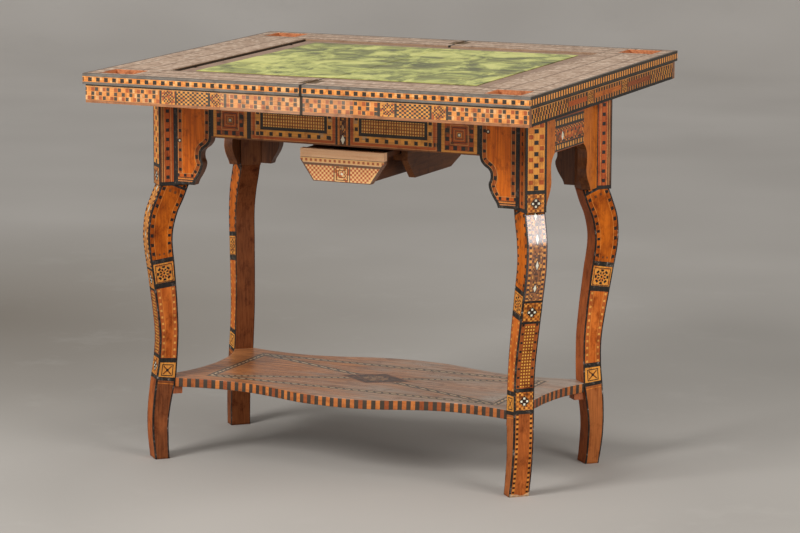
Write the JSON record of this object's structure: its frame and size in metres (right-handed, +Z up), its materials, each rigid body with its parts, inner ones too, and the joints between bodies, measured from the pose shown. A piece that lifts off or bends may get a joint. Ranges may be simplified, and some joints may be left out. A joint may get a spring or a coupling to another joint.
{
  "type": "games table",
  "caption": "Inlaid wooden games table shown opened: folding, swivelling top with cloth-covered lids and corner wells, hung drawer, wavy lower shelf and S-shaped legs.",
  "frame": {"origin": "on the floor, under the middle of the opened top", "axes": "+Z up, -Y towards the drawer's front, +X along the long side towards the leaf that folds over"},
  "size_m": [0.8782, 0.808, 0.7725],
  "materials": {
    "post_veneer": "waxed orange and red-brown inlay with black squares",
    "leg_veneer": "waxed red-brown inlay with black borders and pearl rosettes",
    "plain_wood": "plain dark brown, dull",
    "apron_veneer": "waxed inlay of lattice and rosettes in black frames",
    "bracket_veneer": "waxed red-brown veneer with a toothed border",
    "shelf_veneer": "worn waxed veneer with rope lines and striped edge",
    "drawer_veneer": "waxed inlay of lattice in black frames",
    "drawer_box_wood": "plain brown, dull",
    "iron": "dull grey",
    "top_veneer": "fine brown mosaic inlay with a black edge, polished",
    "rim_veneer": "waxed checker inlay in orange, red and black",
    "game_well_wood": "plain dark brown, satin",
    "leaf_floor_veneer": "inlaid points above, geometric inlay below",
    "well_lining": "orange-red wood, dull",
    "lid_wood": "brown inlaid border, polished",
    "velvet": "crushed green velvet",
    "brass": "old dull brass"
  },
  "bodies": {
    "frame": {"post_front_left": "post_veneer", "post_front_right": "post_veneer", "post_back_right": "post_veneer", "post_back_left": "post_veneer", "leg_front_left": "leg_veneer", "leg_front_right": "leg_veneer", "leg_back_right": "leg_veneer", "leg_back_left": "leg_veneer", "shelf_cleat_front_left": "plain_wood", "shelf_cleat_front_right": "plain_wood", "shelf_cleat_back_right": "plain_wood", "shelf_cleat_back_left": "plain_wood", "apron_front": "apron_veneer", "apron_back": "apron_veneer", "apron_left": "apron_veneer", "apron_right": "apron_veneer", "bracket_front_left": "bracket_veneer", "bracket_front_right": "bracket_veneer", "bracket_back_left": "bracket_veneer", "bracket_back_right": "bracket_veneer", "bracket_left_front": "bracket_veneer", "bracket_left_back": "bracket_veneer", "bracket_right_front": "bracket_veneer", "bracket_right_back": "bracket_veneer", "shelf": "shelf_veneer", "swivel_rail": "plain_wood", "drawer_carrier_left": "plain_wood", "drawer_carrier_right": "plain_wood"},
    "left_leaf": {"leaf_frame_left": "top_veneer", "rim_front_left": "rim_veneer", "rim_back_left": "rim_veneer", "rim_side_left": "rim_veneer", "lid_rest_left": "game_well_wood", "leaf_floor_left": "leaf_floor_veneer", "well_front_left": "well_lining", "well_back_left": "well_lining", "lid_left": "lid_wood", "cloth_left": "velvet", "hinge_plate_front_left": "brass", "hinge_plate_back_left": "brass", "hinge_pin_front": "brass", "hinge_pin_back": "brass", "swivel_rivet": "iron"},
    "right_leaf": {"leaf_frame_right": "top_veneer", "rim_front_right": "rim_veneer", "rim_back_right": "rim_veneer", "rim_side_right": "rim_veneer", "lid_rest_right": "game_well_wood", "leaf_floor_right": "leaf_floor_veneer", "well_front_right": "well_lining", "well_back_right": "well_lining", "lid_right": "lid_wood", "cloth_right": "velvet", "hinge_plate_front_right": "brass", "hinge_plate_back_right": "brass"},
    "drawer": {"drawer_front": "drawer_veneer", "drawer_side_left": "drawer_box_wood", "drawer_side_right": "drawer_box_wood", "drawer_bottom": "drawer_box_wood", "drawer_back": "drawer_box_wood"}
  },
  "joints": [
    {"name": "top_swivel", "type": "hinge", "parent": "frame", "child": "left_leaf", "pos_m": [-0.118, -0.1, 0.716], "axis": [0, 0, 1], "range_deg": [-92.2, 0]},
    {"name": "leaf_fold", "type": "hinge", "parent": "left_leaf", "child": "right_leaf", "pos_m": [0, 0, 0.7703], "axis": [0, -1, 0], "range_deg": [0, 180]},
    {"name": "drawer_slide", "type": "slide", "parent": "frame", "child": "drawer", "axis": [-0.0384, -0.9993, 0], "range_m": [-0.064, 0.095]}
  ]
}
